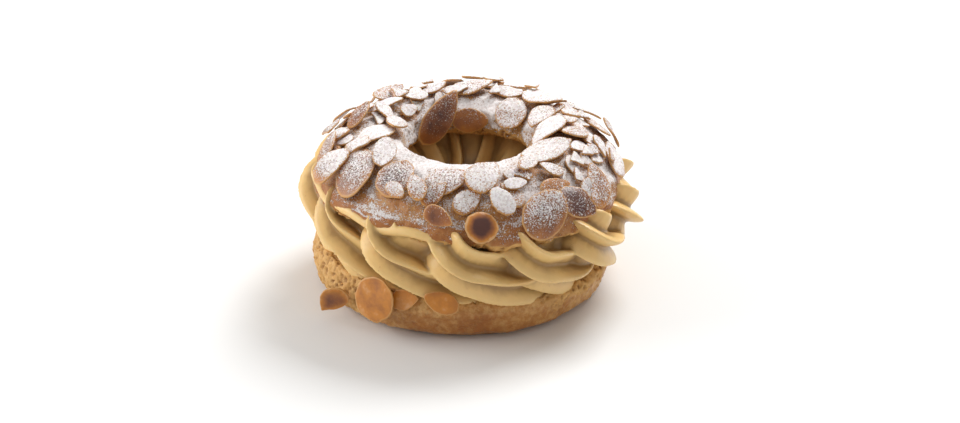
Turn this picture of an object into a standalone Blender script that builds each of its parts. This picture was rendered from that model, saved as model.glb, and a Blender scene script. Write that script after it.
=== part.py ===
"""A Paris-Brest: a split choux ring filled with piped praline cream and covered in flaked almonds.

Metres, +Z up. The origin is the middle of the flat the pastry rests on, +Y points to its back.
The parts are a base ring, a lid ring, one piped ring of cream between them and the flakes.
"""

import math
import random

import bmesh
import bpy
from mathutils import Vector, noise
from mathutils.bvhtree import BVHTree

MM = 0.001
CLEARANCE = 0.35 * MM            # air left between touching pieces
TURN = 2 * math.pi
SEED_STEP = Vector((7.3, 0, 1.7))    # how far apart two seeds lie in the noise

# Base ring: the lower half of the choux, cut open along a leaning plane.
BASE_CENTRE = Vector((-2.6 * MM, 1.2 * MM))
BASE_RING_RADIUS = 27.6 * MM     # middle of the ring's section
BASE_HALF_WIDTH = 14.8 * MM
BASE_BELLY = 9.0 * MM            # height at which the section is widest
BASE_SQUARENESS = 2.6            # 2 is an ellipse, more is boxier
BASE_DEPTH = 10.8 * MM           # half height before the flat and the cut are taken off
BASE_CUT_HEIGHT = 12.6 * MM
BASE_CUT_LEAN = -0.055           # slope of the cut towards +X
BASE_CUT_WAVE = 0.5 * MM
BASE_UNEVEN = 0.05               # share by which its width wanders
BASE_LUMP, BASE_LUMP_SCALE = 0.45 * MM, 160
BASE_AROUND, BASE_SECTION = 48, 12

# Lid ring: the domed upper half, laid on the cream.
LID_CENTRE = Vector((-1.0 * MM, 0.0))
LID_RING_RADIUS = 30.4 * MM
LID_HALF_WIDTH = 13.2 * MM
LID_LEVEL = 34.8 * MM            # height of its widest line
LID_CROWN = 10.8 * MM            # rise of the dome above that line
LID_UNDERSIDE = 2.7 * MM         # drop of the cut face below it
LID_DISH = 0.31                  # the cut face climbs towards the hole
LID_LEAN = -0.004                # slope of the lid towards +X
LID_UNEVEN, CROWN_UNEVEN = 0.035, 0.05
LID_SHOULDER, LID_EDGE = 0.92, 0.6   # how full the dome and the cut edge are; 1 is an ellipse
LID_LUMP, LID_LUMP_SCALE = 0.9 * MM, 110
LID_KNOB, LID_KNOB_SCALE = 0.4 * MM, 260
LID_AROUND, LID_SECTION = 54, 14

# Piped cream: a star-shaped rope laid in overlapping loops all the way round.
LOOPS = 13
CREAM_CENTRE = Vector((0.1 * MM, 0.6 * MM))
LOOP_START = 1.2                 # sets where the first loop lies round the ring
LOOP_CENTRE_RADIUS = 30.6 * MM
LOOP_REACH = 9.3 * MM            # half a loop, measured across the ring
LOOP_SPAN = 7.75 * MM            # half a loop, measured along the ring
LOOP_SPAN_OUTSIDE = 4.0 * MM     # what the outer strokes are longer by
LOOP_FALL = 8.0 * MM             # a loop's leading side is this much lower
LOOP_DROOP = 4.2 * MM            # its outer side sags over the base
LOOP_TUCK = 0.9                  # each stroke starts farther out, and ends under the next one
LID_PRESS = 0.65                 # share of its rise that the lid leaves a loop
PRESSED_LEVEL, PRESSED_GIVE = 32.8 * MM, 2.5 * MM   # the lid flattens what stands above this
LOOP_UNSTEADY = 0.8 * MM         # the hand's wander in reach, span, place and height
ROPE_LEVEL = 23.6 * MM
ROPE_LEAN = -0.04                # slope of the cream towards +X
SWELL_DROP = 1.2 * MM            # the cream drapes over the rim of the base on this side,
SWELL_STRETCH = 0.45             # its loops are that much taller there,
SWELL_FREE = 3.5 * MM            # and the lid flattens them that much higher up
SWELL_DIRECTION = math.radians(-145)
SWELL_SPREAD = math.radians(55)
ROPE_VALLEY = 3.0 * MM           # radius between the fins of the star
ROPE_FIN = 5.6 * MM              # height of a fin
FIN_ROUNDING = 0.35
ROPE_FINS = 6
ROPE_TWIST = 47 / 78             # turns of the star in one loop; closes after 13 loops
ROPE_STEPS, ROPE_SIDES = 40, 48
CORE_RADIUS = 31.0 * MM          # the solid middle where the loops meet
CORE_HALF_WIDTH, CORE_HALF_HEIGHT = 9.0 * MM, 10.0 * MM
CREAM_VOXEL = 0.7 * MM
CREAM_TRIANGLES = 3700
MERGE_DISTANCE = 0.01 * MM

# Flaked almonds: thin drop-shaped slices, baked on so that they follow the crust.
FLAKE_THICKNESS = 0.9 * MM
FLAKE_POINTS = 10
FLAKE_REACH = 12 * MM            # past the farthest tip of any flake, from its middle
CRUST_CURVE = 12.5 * MM          # the lid's roundness across the ring, which a flake wraps
LID_WRAP, BASE_WRAP = 0.8, 0.1   # share of that roundness a flake takes up
SETTLE_STEP = 0.15 * MM
SCATTERED_FLAKES = 25
SCATTER_SPACING = 9.5 * MM       # between middles; it shrinks a little at each failed throw
SPACING_LOSS = 0.004 * MM
SCATTERED_LENGTH, SCATTERED_WIDTH = 14, 8.5   # millimetres, of the largest

# The flakes that lead the eye. Each is where it lies (degrees round the ring from +X, degrees over
# the section from the outer rim), where its point heads (0 is along the ring, 90 up the section),
# its length and width in millimetres, how pointed it is, and how far its point and its side stand up.
LID_FLAKES = {
    "leaf": (122, 162, -137, 18.5, 8.6, 0.7, 14, 0),
    "coin": (48, 149, -50, 10.5, 9.6, 0.1, 8, 0),
    "in_the_hole": (88, 168, 182, 10.5, 7.2, 0.3, 4, 0),
    "back_crest": (87, 110, 192, 12, 9.0, 0.5, 6, 0),
    "back_right": (36, 106, 182, 15, 9.5, 0.5, 4, 4),
    "back_edge": (133, 82, 180, 11, 6.0, 0.6, 0, 34),
    "left_curl": (171, 92, 144, 10, 6.5, 0.6, 20, 0),
    "left_low": (192, 52, 67, 9, 6.5, 0.5, 8, 0),
    "large": (216, 62, 122, 17, 12.0, 0.35, 4, 0),
    "round": (237, 72, 81, 12, 11.0, 0.25, 5, 0),
    "front_crest": (261, 80, 30, 13, 8.5, 0.5, 6, 0),
    "front_pale": (277, 83, 50, 12, 9.0, 0.5, 5, 0),
    "dark_edge": (260, 36, -22, 9, 5.5, 0.6, 4, 26),
    "tongue": (275, 28, 250, 9, 9.0, 0.1, 16, 0),
    "gold_curl": (308, 57, 0, 11, 5.5, 0.7, 0, 16),
    "plum": (312, 32, -50, 12, 9.0, 0.5, 6, 0),
    "big_front": (298, 32, 40, 15, 12.0, 0.3, 9, 0),
    "upright": (328, 38, 70, 13, 7.5, 0.6, 4, -18),
    "long_pale": (322, 103, -18, 16, 8.5, 0.6, 5, 0),
    "right_crest": (0, 102, -138, 15, 9.0, 0.5, 5, 0),
}
BASE_FLAKES = {
    "caramel": (238, 9, 75, 13.0, 12.5, 0.05, 0, 0),
    "caramel_small": (249, 14, 15, 8, 6.0, 0.7, 0, 0),
    "under_cream": (263, 16, 165, 10, 6.0, 0.4, 0, 0),
    "skin_on": (218, -7, -130, 11, 7.5, 0.9, 18, -34),
}


def wander(angle, seed, lumps=1.0):
    """A smooth value of about -1 to 1 that closes on itself around the ring."""
    round_the_ring = Vector((lumps * math.cos(angle), lumps * math.sin(angle), 0))
    return 1.6 * noise.noise(round_the_ring + seed * SEED_STEP)


def power(value, exponent):
    """A power that keeps the sign."""
    return math.copysign(abs(value) ** exponent, value)


def material(name, colour, roughness):
    """A matt food finish."""
    finish = bpy.data.materials.new(name)
    finish.use_nodes = True
    shader = finish.node_tree.nodes["Principled BSDF"]
    shader.inputs["Base Color"].default_value = (*colour, 1)
    shader.inputs["Roughness"].default_value = roughness
    shader.inputs["Metallic"].default_value = 0.0
    return finish


def add_object(name, mesh, finish):
    """Put a finished mesh in the scene under its own name."""
    mesh.materials.clear()
    mesh.materials.append(finish)
    piece = bpy.data.objects.new(name, mesh)
    bpy.context.collection.objects.link(piece)
    return piece


def mesh_from(bm, name):
    """Turn a bmesh into a mesh whose faces point outwards."""
    bmesh.ops.recalc_face_normals(bm, faces=bm.faces)
    mesh = bpy.data.meshes.new(name)
    bm.to_mesh(mesh)
    bm.free()
    mesh.shade_smooth()
    return mesh


def closed_grid(bm, surface, around, section, shift=0):
    """Skin a closed ring of closed sections; surface takes the two step numbers."""
    rows = [[bm.verts.new(surface(i, j)) for j in range(section)] for i in range(around)]
    for i in range(around):
        here, there = rows[i], rows[(i + 1) % around]
        slip = shift if i == around - 1 else 0
        for j in range(section):
            k = j + 1
            next_row = there[(k + slip) % section], there[(j + slip) % section]
            bm.faces.new((here[j], here[k % section], *next_row))


# ---- choux rings ----------------------------------------------------------------------------

def base_point(theta, phi, grow=0.0):
    """The base's skin: theta runs round the ring, phi round its section from the outside up."""
    half = BASE_HALF_WIDTH * (1 + BASE_UNEVEN * wander(theta, 1, 1.6)) + grow
    across = half * power(math.cos(phi), 2 / BASE_SQUARENESS)
    radius = BASE_RING_RADIUS + across
    x = BASE_CENTRE.x + radius * math.cos(theta)
    y = BASE_CENTRE.y + radius * math.sin(theta)
    z = BASE_BELLY + (BASE_DEPTH + grow) * power(math.sin(phi), 2 / BASE_SQUARENESS)
    lump = BASE_LUMP * noise.noise(Vector((x, y, z)) * BASE_LUMP_SCALE)
    cut = BASE_CUT_HEIGHT + BASE_CUT_LEAN * x + BASE_CUT_WAVE * wander(theta, 2, 2.0) + grow
    return Vector((x, y, max(min(z + lump, cut), -grow)))


def lid_point(theta, phi, grow=0.0):
    """The lid's skin, in the same two angles."""
    half = LID_HALF_WIDTH * (1 + LID_UNEVEN * wander(theta, 3, 1.8)) + grow
    across = half * math.cos(phi)
    radius = LID_RING_RADIUS + across
    if math.sin(phi) > 0:
        crown = LID_CROWN * (1 + CROWN_UNEVEN * wander(theta, 4, 1.7))
        rise = (crown + grow) * math.sin(phi) ** LID_SHOULDER
    else:
        rise = (LID_UNDERSIDE + grow) * power(math.sin(phi), LID_EDGE)
    x = LID_CENTRE.x + radius * math.cos(theta)
    y = LID_CENTRE.y + radius * math.sin(theta)
    z = LID_LEVEL + rise - LID_DISH * across + LID_LEAN * x
    outward = Vector((math.cos(phi) * math.cos(theta), math.cos(phi) * math.sin(theta), math.sin(phi)))
    place = Vector((x, y, z))
    lump = LID_LUMP * noise.noise(place * LID_LUMP_SCALE) + LID_KNOB * noise.noise(place * LID_KNOB_SCALE)
    return place + outward * lump


def ring_mesh(point, around, section, name, grow=0.0):
    """A choux ring from its skin function."""
    bm = bmesh.new()
    closed_grid(bm, lambda i, j: point(TURN * i / around, TURN * j / section, grow), around, section)
    return mesh_from(bm, name)


# ---- piped cream ----------------------------------------------------------------------------

def swell_at(place):
    """1 where the cream swells most, and less away from there."""
    away = math.remainder(math.atan2(place.y, place.x) - SWELL_DIRECTION, TURN)
    return math.exp(-((away / SWELL_SPREAD) ** 2))


def cream_level(place):
    """The height of the cream's middle at a place round the ring."""
    return ROPE_LEVEL + ROPE_LEAN * place.x - SWELL_DROP * swell_at(place)


def rope_centre(t):
    """The nozzle's path: t grows by one turn for each loop, LOOPS of them round the ring."""
    theta = (t + LOOP_START) / LOOPS
    out = Vector((math.cos(theta), math.sin(theta), 0))
    along = Vector((-math.sin(theta), math.cos(theta), 0))
    reach = LOOP_REACH + LOOP_UNSTEADY * wander(theta, 5, 3.0)
    span = LOOP_SPAN + LOOP_SPAN_OUTSIDE * math.cos(t) + LOOP_UNSTEADY * wander(theta, 6, 3.0)
    radius = LOOP_CENTRE_RADIUS + reach * math.cos(t + LOOP_TUCK) + LOOP_UNSTEADY * wander(theta, 7, 3.0)
    centre = CREAM_CENTRE.to_3d() + out * radius + along * (span * math.sin(t))
    level = cream_level(centre) + LOOP_UNSTEADY * wander(theta, 8, 3.0)
    rise = -LOOP_FALL * math.sin(t) - LOOP_DROOP * math.cos(t)
    rise *= 1 + SWELL_STRETCH * swell_at(centre)
    centre.z = level + (rise if rise < 0 else rise * LID_PRESS)
    return centre, out, along


def rope_point(i, j):
    """The rope's skin: a star section that turns as the nozzle goes round."""
    t = TURN * i / ROPE_STEPS
    nudge = 0.01
    centre, out, along = rope_centre(t)
    heading = (rope_centre(t + nudge)[0] - rope_centre(t - nudge)[0]).normalized()
    span = LOOP_SPAN + LOOP_SPAN_OUTSIDE * math.cos(t)
    up = Vector((0, 0, 1)) + out * (LOOP_DROOP / LOOP_REACH) + along * (LOOP_FALL / span)
    side = heading.cross(up).normalized()
    top = side.cross(heading).normalized()
    psi = TURN * j / ROPE_SIDES
    swing = math.hypot(math.sin(ROPE_FINS * psi / 2), FIN_ROUNDING)
    radius = ROPE_VALLEY + ROPE_FIN * (1 + FIN_ROUNDING - swing)
    turned = psi + math.pi / ROPE_FINS + ROPE_TWIST * t
    return centre + side * (radius * math.cos(turned)) + top * (radius * math.sin(turned))


def core_point(i, j):
    """The full middle of the cream."""
    theta, phi = TURN * i / ROPE_STEPS, TURN * j / ROPE_SIDES
    radius = CORE_RADIUS + CORE_HALF_WIDTH * math.cos(phi)
    place = Vector((radius * math.cos(theta), radius * math.sin(theta), 0)) + CREAM_CENTRE.to_3d()
    place.z = cream_level(place) + CORE_HALF_HEIGHT * math.sin(phi)
    return place


def evaluated_mesh(piece):
    """The mesh a piece has after its modifiers."""
    graph = bpy.context.evaluated_depsgraph_get()
    return bpy.data.meshes.new_from_object(piece.evaluated_get(graph))


def largest_shell(mesh):
    """Drop every shell but the biggest, such as crumbs that a cut leaves."""
    bm = bmesh.new()
    bm.from_mesh(mesh)
    bmesh.ops.triangulate(bm, faces=bm.faces)
    bmesh.ops.remove_doubles(bm, verts=bm.verts, dist=MERGE_DISTANCE)
    left, shells = set(bm.verts), []
    while left:
        shell, front = set(), [left.pop()]
        while front:
            vert = front.pop()
            shell.add(vert)
            for edge in vert.link_edges:
                other = edge.other_vert(vert)
                if other in left:
                    left.discard(other)
                    front.append(other)
        shells.append(shell)
    keep = max(shells, key=len)
    bmesh.ops.delete(bm, geom=[vert for vert in bm.verts if vert not in keep], context="VERTS")
    return mesh_from(bm, mesh.name)


def make_cream(finish):
    """Pipe the rope, fuse its loops, and cut it back to clear the choux."""
    bm = bmesh.new()
    slip = round(ROPE_SIDES * ROPE_TWIST * LOOPS) % ROPE_SIDES
    closed_grid(bm, rope_point, LOOPS * ROPE_STEPS, ROPE_SIDES, slip)
    closed_grid(bm, core_point, ROPE_STEPS, ROPE_SIDES)
    piped = add_object("cream_piped", mesh_from(bm, "piped"), finish)
    fuse = piped.modifiers.new("fuse", "REMESH")
    fuse.mode = "VOXEL"
    fuse.voxel_size = CREAM_VOXEL
    fused = largest_shell(evaluated_mesh(piped))
    for vert in fused.vertices:
        over = max(vert.co.z - PRESSED_LEVEL - SWELL_FREE * swell_at(vert.co), 0)
        vert.co.z -= over * over / (over + PRESSED_GIVE)
    piped.modifiers.clear()
    piped.data = fused
    thin = piped.modifiers.new("thin", "DECIMATE")
    thin.ratio = CREAM_TRIANGLES / len(fused.polygons)
    for name, point, around, section in (
        ("base_room", base_point, BASE_AROUND, BASE_SECTION),
        ("lid_room", lid_point, LID_AROUND, LID_SECTION),
    ):
        room = add_object(name, ring_mesh(point, around, section, name, CLEARANCE), finish)
        room.hide_render = True
        room.display_type = "WIRE"
        cut = piped.modifiers.new(name, "BOOLEAN")
        cut.operation = "DIFFERENCE"
        cut.solver = "EXACT"
        cut.object = room
    mesh = largest_shell(evaluated_mesh(piped))
    for spare in (piped, bpy.data.objects["base_room"], bpy.data.objects["lid_room"]):
        bpy.data.objects.remove(spare)
    return add_object("praline_cream", mesh, finish)


# ---- almond flakes --------------------------------------------------------------------------

def flake_outline(sharpness):
    """A drop on the unit square, its point at +X; sharpness 0 is an ellipse."""
    widest = math.acos(1 / math.sqrt(2 + sharpness))
    peak = math.sin(2 * widest) * math.sin(widest) ** sharpness
    for k in range(FLAKE_POINTS):
        turn = TURN * k / FLAKE_POINTS
        yield math.cos(turn), math.sin(turn) * abs(math.sin(turn / 2)) ** sharpness / peak


def flake_shape(seat, length, width, sharpness, wrap):
    """The flake's points and faces in its own axes, bent to follow the crust under it."""
    heading = seat["heading"]
    centre = [(0.0, 0.0)]
    rim = [(0.5 * length * x, 0.5 * width * y) for x, y in flake_outline(sharpness)]
    points = []
    for side in (0.5, -0.5):
        for x, y in centre + rim:
            climb = x * math.sin(heading) + y * math.cos(heading)
            drop = wrap * climb * climb / (2 * CRUST_CURVE)
            points.append(Vector((x, y, side * FLAKE_THICKNESS - drop)))
    lower = FLAKE_POINTS + 1
    faces = []
    for k in range(FLAKE_POINTS):
        here, there = k + 1, (k + 1) % FLAKE_POINTS + 1
        faces += [(0, here, there), (lower, lower + there, lower + here)]
        faces += [(here, lower + here, lower + there), (here, lower + there, there)]
    return points, faces


def seat_on(surface, around, over, heading, lift, roll):
    """Where a flake lies: its middle, the crust's normal and the flake's own axes."""
    theta, phi, nudge = math.radians(around), math.radians(over), 0.08
    place = surface(theta, phi)
    along = (surface(theta + nudge, phi) - surface(theta - nudge, phi)).normalized()
    climb = (surface(theta, phi + nudge) - surface(theta, phi - nudge)).normalized()
    normal = along.cross(climb).normalized()
    turn, rise, bank = math.radians(heading), math.radians(lift), math.radians(roll)
    flat = along * math.cos(turn) + normal.cross(along) * math.sin(turn)
    tip = flat * math.cos(rise) + normal * math.sin(rise)
    side = normal.cross(flat) * math.cos(bank) + normal * math.sin(bank)
    return {"place": place, "normal": normal, "tip": tip, "side": side, "heading": turn}


def too_close(points, faces, middle, others):
    """Whether a flake touches, or nearly touches, anything laid before it."""
    tree = BVHTree.FromPolygons(points, faces)
    probes = points + [(points[a] + points[b] + points[c]) / 3 for a, b, c in faces]
    for other_tree, other_points, other_middle, other_reach in others:
        if (other_middle - middle).length > other_reach + FLAKE_REACH:
            continue
        if tree.overlap(other_tree):
            return True
        if any(other_tree.find_nearest(probe, CLEARANCE)[0] for probe in probes):
            return True
        near = (point for point in other_points if (point - middle).length < FLAKE_REACH)
        if any(tree.find_nearest(point, CLEARANCE)[0] for point in near):
            return True
    return False


def obstacle(points, faces):
    """What a later flake has to clear."""
    middle = sum(points, Vector()) / len(points)
    reach = max((point - middle).length for point in points)
    return BVHTree.FromPolygons(points, faces), points, middle, reach


def lay_flake(name, surface, flake, wrap, finish, others):
    """Lower a flake onto whatever is under it and keep a hair of air below."""
    around, over, heading, length, width, sharpness, lift, roll = flake
    seat = seat_on(surface, around, over, heading, lift, roll)
    local, faces = flake_shape(seat, length * MM, width * MM, sharpness, wrap)
    face = seat["tip"].cross(seat["side"]).normalized()
    height = 0.5 * FLAKE_THICKNESS
    while True:
        middle = seat["place"] + seat["normal"] * height
        points = [middle + seat["tip"] * p.x + seat["side"] * p.y + face * p.z for p in local]
        if not too_close(points, faces, middle, others):
            break
        height += SETTLE_STEP
    others.append(obstacle(points, faces))
    mesh = bpy.data.meshes.new(name)
    mesh.from_pydata(points, [], faces)
    mesh.validate()
    return add_object(name, mesh, finish)


def scattered_flakes(taken):
    """Fill the crust between the chosen flakes, never closer than the spacing."""
    rng = random.Random(11)
    spots = [lid_point(math.radians(flake[0]), math.radians(flake[1])) for flake in taken]
    flakes, spacing = [], SCATTER_SPACING
    while len(flakes) < SCATTERED_FLAKES:
        around, over = rng.uniform(0, 360), rng.triangular(28, 148, 80)
        spot = lid_point(math.radians(around), math.radians(over))
        heading, size = rng.uniform(-180, 180), rng.uniform(0.5, 1.0)
        width = SCATTERED_WIDTH * size * rng.uniform(0.85, 1.15)
        shape = (SCATTERED_LENGTH * size, width, rng.uniform(0.2, 0.9))
        stand = (rng.uniform(0, 12), rng.uniform(-8, 8))
        over_the_near_rim = math.sin(math.radians(around)) < -0.3 and over > 95
        if over_the_near_rim or min((spot - other).length for other in spots) < spacing:
            spacing -= SPACING_LOSS
            continue
        spots.append(spot)
        flakes.append((around, over, heading, *shape, *stand))
    return flakes


# ---- scene ----------------------------------------------------------------------------------

def main():
    for old in list(bpy.data.objects):
        bpy.data.objects.remove(old)
    crust = material("golden choux", (0.56, 0.30, 0.10), 0.62)
    cream = material("praline cream", (0.66, 0.47, 0.25), 0.42)
    toasts = [
        material("pale almond", (0.72, 0.52, 0.30), 0.5),
        material("toasted almond", (0.52, 0.27, 0.10), 0.5),
        material("dark almond", (0.20, 0.07, 0.03), 0.45),
    ]
    base = add_object("choux_base", ring_mesh(base_point, BASE_AROUND, BASE_SECTION, "base"), crust)
    lid = add_object("choux_lid", ring_mesh(lid_point, LID_AROUND, LID_SECTION, "lid"), crust)
    filling = make_cream(cream)
    others = []
    for piece in (base, lid, filling):
        corners = [vert.co.copy() for vert in piece.data.vertices]
        others.append(obstacle(corners, [tuple(face.vertices) for face in piece.data.polygons]))
    on_lid = list(LID_FLAKES.values())
    laid = [(lid_point, flake, LID_WRAP) for flake in on_lid + scattered_flakes(on_lid)]
    laid += [(base_point, flake, BASE_WRAP) for flake in BASE_FLAKES.values()]
    for number, (surface, flake, wrap) in enumerate(laid, 1):
        lay_flake(f"almond_{number:02d}", surface, flake, wrap, toasts[number % len(toasts)], others)


main()
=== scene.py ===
# %% [markdown]
# # A Paris-Brest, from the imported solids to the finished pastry
# The pastry is a ring of choux baked under flaked almonds, split across, and filled with praline
# cream piped from a star nozzle. The solids of the base, the cream, the lid and the 49 largest
# almond slices are ready and fixed in place. This file gives each of them its fine surface,
# then adds what is too small to be a solid: more almond chips, powdered sugar and crumbs.

# %% Load the fixed solids
import math
import random

import bmesh
import bpy
import numpy as np
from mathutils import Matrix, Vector, noise
from mathutils.bvhtree import BVHTree


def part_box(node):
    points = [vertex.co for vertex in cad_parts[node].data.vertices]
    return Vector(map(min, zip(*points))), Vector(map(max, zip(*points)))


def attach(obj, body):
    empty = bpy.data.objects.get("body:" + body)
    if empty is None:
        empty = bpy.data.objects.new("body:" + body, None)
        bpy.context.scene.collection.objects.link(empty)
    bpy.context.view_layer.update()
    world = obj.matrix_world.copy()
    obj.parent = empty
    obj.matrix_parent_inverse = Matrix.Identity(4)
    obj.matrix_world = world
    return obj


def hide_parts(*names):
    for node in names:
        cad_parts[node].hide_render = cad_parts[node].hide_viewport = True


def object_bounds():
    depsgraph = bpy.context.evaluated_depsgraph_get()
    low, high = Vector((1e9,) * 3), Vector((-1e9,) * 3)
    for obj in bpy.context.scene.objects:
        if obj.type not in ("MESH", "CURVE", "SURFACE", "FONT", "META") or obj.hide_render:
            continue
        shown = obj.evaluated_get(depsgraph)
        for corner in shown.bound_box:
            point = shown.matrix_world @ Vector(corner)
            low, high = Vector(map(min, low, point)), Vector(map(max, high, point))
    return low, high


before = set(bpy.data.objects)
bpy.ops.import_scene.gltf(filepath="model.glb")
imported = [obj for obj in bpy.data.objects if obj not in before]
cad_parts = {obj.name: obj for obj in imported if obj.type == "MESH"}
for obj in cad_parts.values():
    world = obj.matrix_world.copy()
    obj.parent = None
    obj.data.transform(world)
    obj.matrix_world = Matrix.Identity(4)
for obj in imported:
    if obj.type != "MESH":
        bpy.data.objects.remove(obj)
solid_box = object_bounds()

MM = 0.001
TURN = 2 * math.pi
UP = Vector((0, 0, 1))
solids_low, solids_high = solid_box
print(f"{len(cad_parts)} solids, {[round(1000 * s, 1) for s in solids_high - solids_low]} mm")

# %% [markdown]
# ## Where it is seen from
# The camera comes first, because every later choice is judged through it. A long lens from well
# back keeps the ring's near and far sides almost the same size. Its length follows from how wide
# a stretch the view takes in at the pastry. The aim is given from the middle of the solids' box,
# so the view follows the pastry if the solids change.

# %% Camera
VIEW_HEIGHT = math.radians(26)
VIEW_DISTANCE = 0.70
VIEW_WIDTH = 271.68 * MM
SENSOR_WIDTH = 36
AIM_OFFSET = Vector((2.5, 0, -5.1)) * MM

camera_data = bpy.data.cameras.new("camera")
camera_data.sensor_width = SENSOR_WIDTH
camera_data.lens = SENSOR_WIDTH * VIEW_DISTANCE / VIEW_WIDTH
camera = bpy.data.objects.new("camera", camera_data)
bpy.context.collection.objects.link(camera)
backwards = Vector((0, -math.cos(VIEW_HEIGHT), math.sin(VIEW_HEIGHT)))
aim = (solids_low + solids_high) / 2 + AIM_OFFSET
camera.location = aim + backwards * VIEW_DISTANCE
camera.rotation_euler = backwards.to_track_quat("Z", "Y").to_euler()
bpy.context.scene.camera = camera
print(f"lens {camera_data.lens:.1f} mm")

# %% [markdown]
# ## Light
# Powdered sugar and cream both lose their shape in flat light. One large soft lamp high behind the
# right shoulder of the pastry rakes over the ridges, a weak one from the left opens the shadows,
# and a white sky does the rest. The standard view transform keeps the whites white.

# %% Lamps, sky and view transform
# place and width in metres, power in watts
LAMPS = {
    "window": ((0.42, 0.50, 0.80), 0.50, 9.9),
    "reflector": ((-0.72, 0.02, 0.36), 0.60, 4.4),
}
SKY_COLOUR, SKY_STRENGTH = (1.0, 0.995, 0.985), 0.52

scene = bpy.context.scene
scene.view_settings.view_transform = "Standard"
for name, (place, size, energy) in LAMPS.items():
    lamp_data = bpy.data.lights.new(name, "AREA")
    lamp_data.energy = energy
    lamp_data.size = size
    lamp = bpy.data.objects.new(name, lamp_data)
    bpy.context.collection.objects.link(lamp)
    lamp.location = place
    lamp.rotation_euler = (Vector(place) - aim).to_track_quat("Z", "Y").to_euler()
sky = bpy.data.worlds.new("sky")
sky.use_nodes = True
sky.node_tree.nodes["Background"].inputs["Color"].default_value = (*SKY_COLOUR, 1)
sky.node_tree.nodes["Background"].inputs["Strength"].default_value = SKY_STRENGTH
scene.world = sky

# %% [markdown]
# ## Node trees written as arithmetic
# Materials and Geometry Nodes are both graphs of nodes. Written link by link they are hard to read,
# so a small class wraps one output socket and takes over the arithmetic signs: each sign adds one
# Math node. Everything that isn't plain arithmetic comes from one method, node(), which takes
# the kind of node, its settings and its inputs, and hands back the output that is asked for.

# %% Wires and benches
class Wire:
    """One output of a node. Arithmetic on it adds Math nodes to its tree."""

    def __init__(self, bench, socket):
        self.bench, self.socket = bench, socket

    def math(self, operation, *others, **settings):
        return self.bench.maths(operation, self, *others, **settings)

    def __add__(self, other):
        return self.math("ADD", other)

    def __sub__(self, other):
        return self.math("SUBTRACT", other)

    def __rsub__(self, other):
        return self.bench.maths("SUBTRACT", other, self)

    def __mul__(self, other):
        return self.math("MULTIPLY", other)

    __radd__ = __add__
    __rmul__ = __mul__

    def held(self):
        """The value kept between 0 and 1."""
        return self.math("ADD", 0.0, use_clamp=True)

    def step(self, low, high):
        """0 below low, 1 above high, and a smooth slope between."""
        settings = {"interpolation_type": "SMOOTHSTEP"}
        inputs = {"Value": self, "From Min": low, "From Max": high}
        return self.bench.node("ShaderNodeMapRange", settings, inputs)


class Bench:
    """A node tree under construction."""

    def __init__(self, tree):
        self.tree = tree

    def maths(self, operation, *values, **settings):
        """Add a Math node."""
        settings = {"operation": operation, **settings}
        return self.node("ShaderNodeMath", settings, dict(enumerate(values)))

    def cells(self, place, size, feature="F1", **more):
        """The distance in cell noise whose cells are about size across."""
        inputs = {"Vector": place, "Scale": 1 / size, **more}
        return self.node("ShaderNodeTexVoronoi", {"feature": feature}, inputs, "Distance")

    def node(self, kind, settings=None, inputs=None, output=None):
        """Add any node: its settings first, then its inputs. Returns one output as a Wire."""
        made = self.tree.nodes.new(kind)
        for key, value in (settings or {}).items():
            if key == "stops":
                self.set_stops(made.color_ramp, value)
            else:
                setattr(made, key, value)
        for key, value in (inputs or {}).items():
            socket = self.find(made.inputs, key)
            if isinstance(value, Wire):
                self.tree.links.new(value.socket, socket)
            else:
                socket.default_value = value
        if not made.outputs:
            return made
        return Wire(self, self.find(made.outputs, 0 if output is None else output))

    @staticmethod
    def find(sockets, key):
        """The socket in use that has this name or, for a number, this place."""
        usable = [socket for socket in sockets if socket.enabled]
        return usable[key] if isinstance(key, int) else next(s for s in usable if s.name == key)

    @staticmethod
    def set_stops(ramp, stops):
        """Give a colour ramp its stops, each a place and a colour."""
        while len(ramp.elements) < len(stops):
            ramp.elements.new(0.5)
        for element, (place, colour) in zip(ramp.elements, stops):
            element.position = place
            element.color = (*colour, 1)


class Finish(Bench):
    """A material under construction, with the patterns that food finishes share."""

    def __init__(self, name):
        self.material = bpy.data.materials.new(name)
        self.material.use_nodes = True
        super().__init__(self.material.node_tree)
        self.skin = self.tree.nodes["Principled BSDF"]
        self.place = self.node("ShaderNodeTexCoord", output="Object")

    def grain(self, size, detail=2.0, rough=0.5, seed=0.0):
        """Soft noise whose lumps are about size across."""
        inputs = {"Vector": self.place, "W": seed, "Scale": 1 / size}
        inputs |= {"Detail": detail, "Roughness": rough}
        return self.node("ShaderNodeTexNoise", {"noise_dimensions": "4D"}, inputs, "Fac")

    def value(self, attribute):
        """A number stored on the mesh."""
        return self.node("ShaderNodeAttribute", {"attribute_name": attribute}, output="Fac")

    def mix(self, factor, below, above):
        """Blend two colours."""
        inputs = {"Factor": factor, "A": self.colour(below), "B": self.colour(above)}
        return self.node("ShaderNodeMix", {"data_type": "RGBA"}, inputs, "Result")

    @staticmethod
    def colour(value):
        return value if isinstance(value, Wire) else (*value, 1)

    def bump(self, height, depth, under=None):
        """Relief too fine for the mesh: height is 0 to 1, depth is its full size."""
        inputs = {"Height": height, "Distance": depth, "Strength": 1.0}
        if under:
            inputs["Normal"] = under
        return self.node("ShaderNodeBump", {}, inputs, "Normal")

    def finish(self, linked, plain):
        """Send the varying values and set the plain ones on the skin shader."""
        for name, wire in linked.items():
            self.tree.links.new(wire.socket, self.skin.inputs[name])
        for name, value in plain.items():
            self.skin.inputs[name].default_value = value
        print(f"finish {self.material.name}: {len(self.tree.nodes)} nodes")
        return self.material


# %% [markdown]
# ## Colours
# The colours of the pastry and the floor are named in one place, as linear red, green and blue,
# so that finishes can share them. A linear value looks brighter on a screen than its number says.

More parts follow.
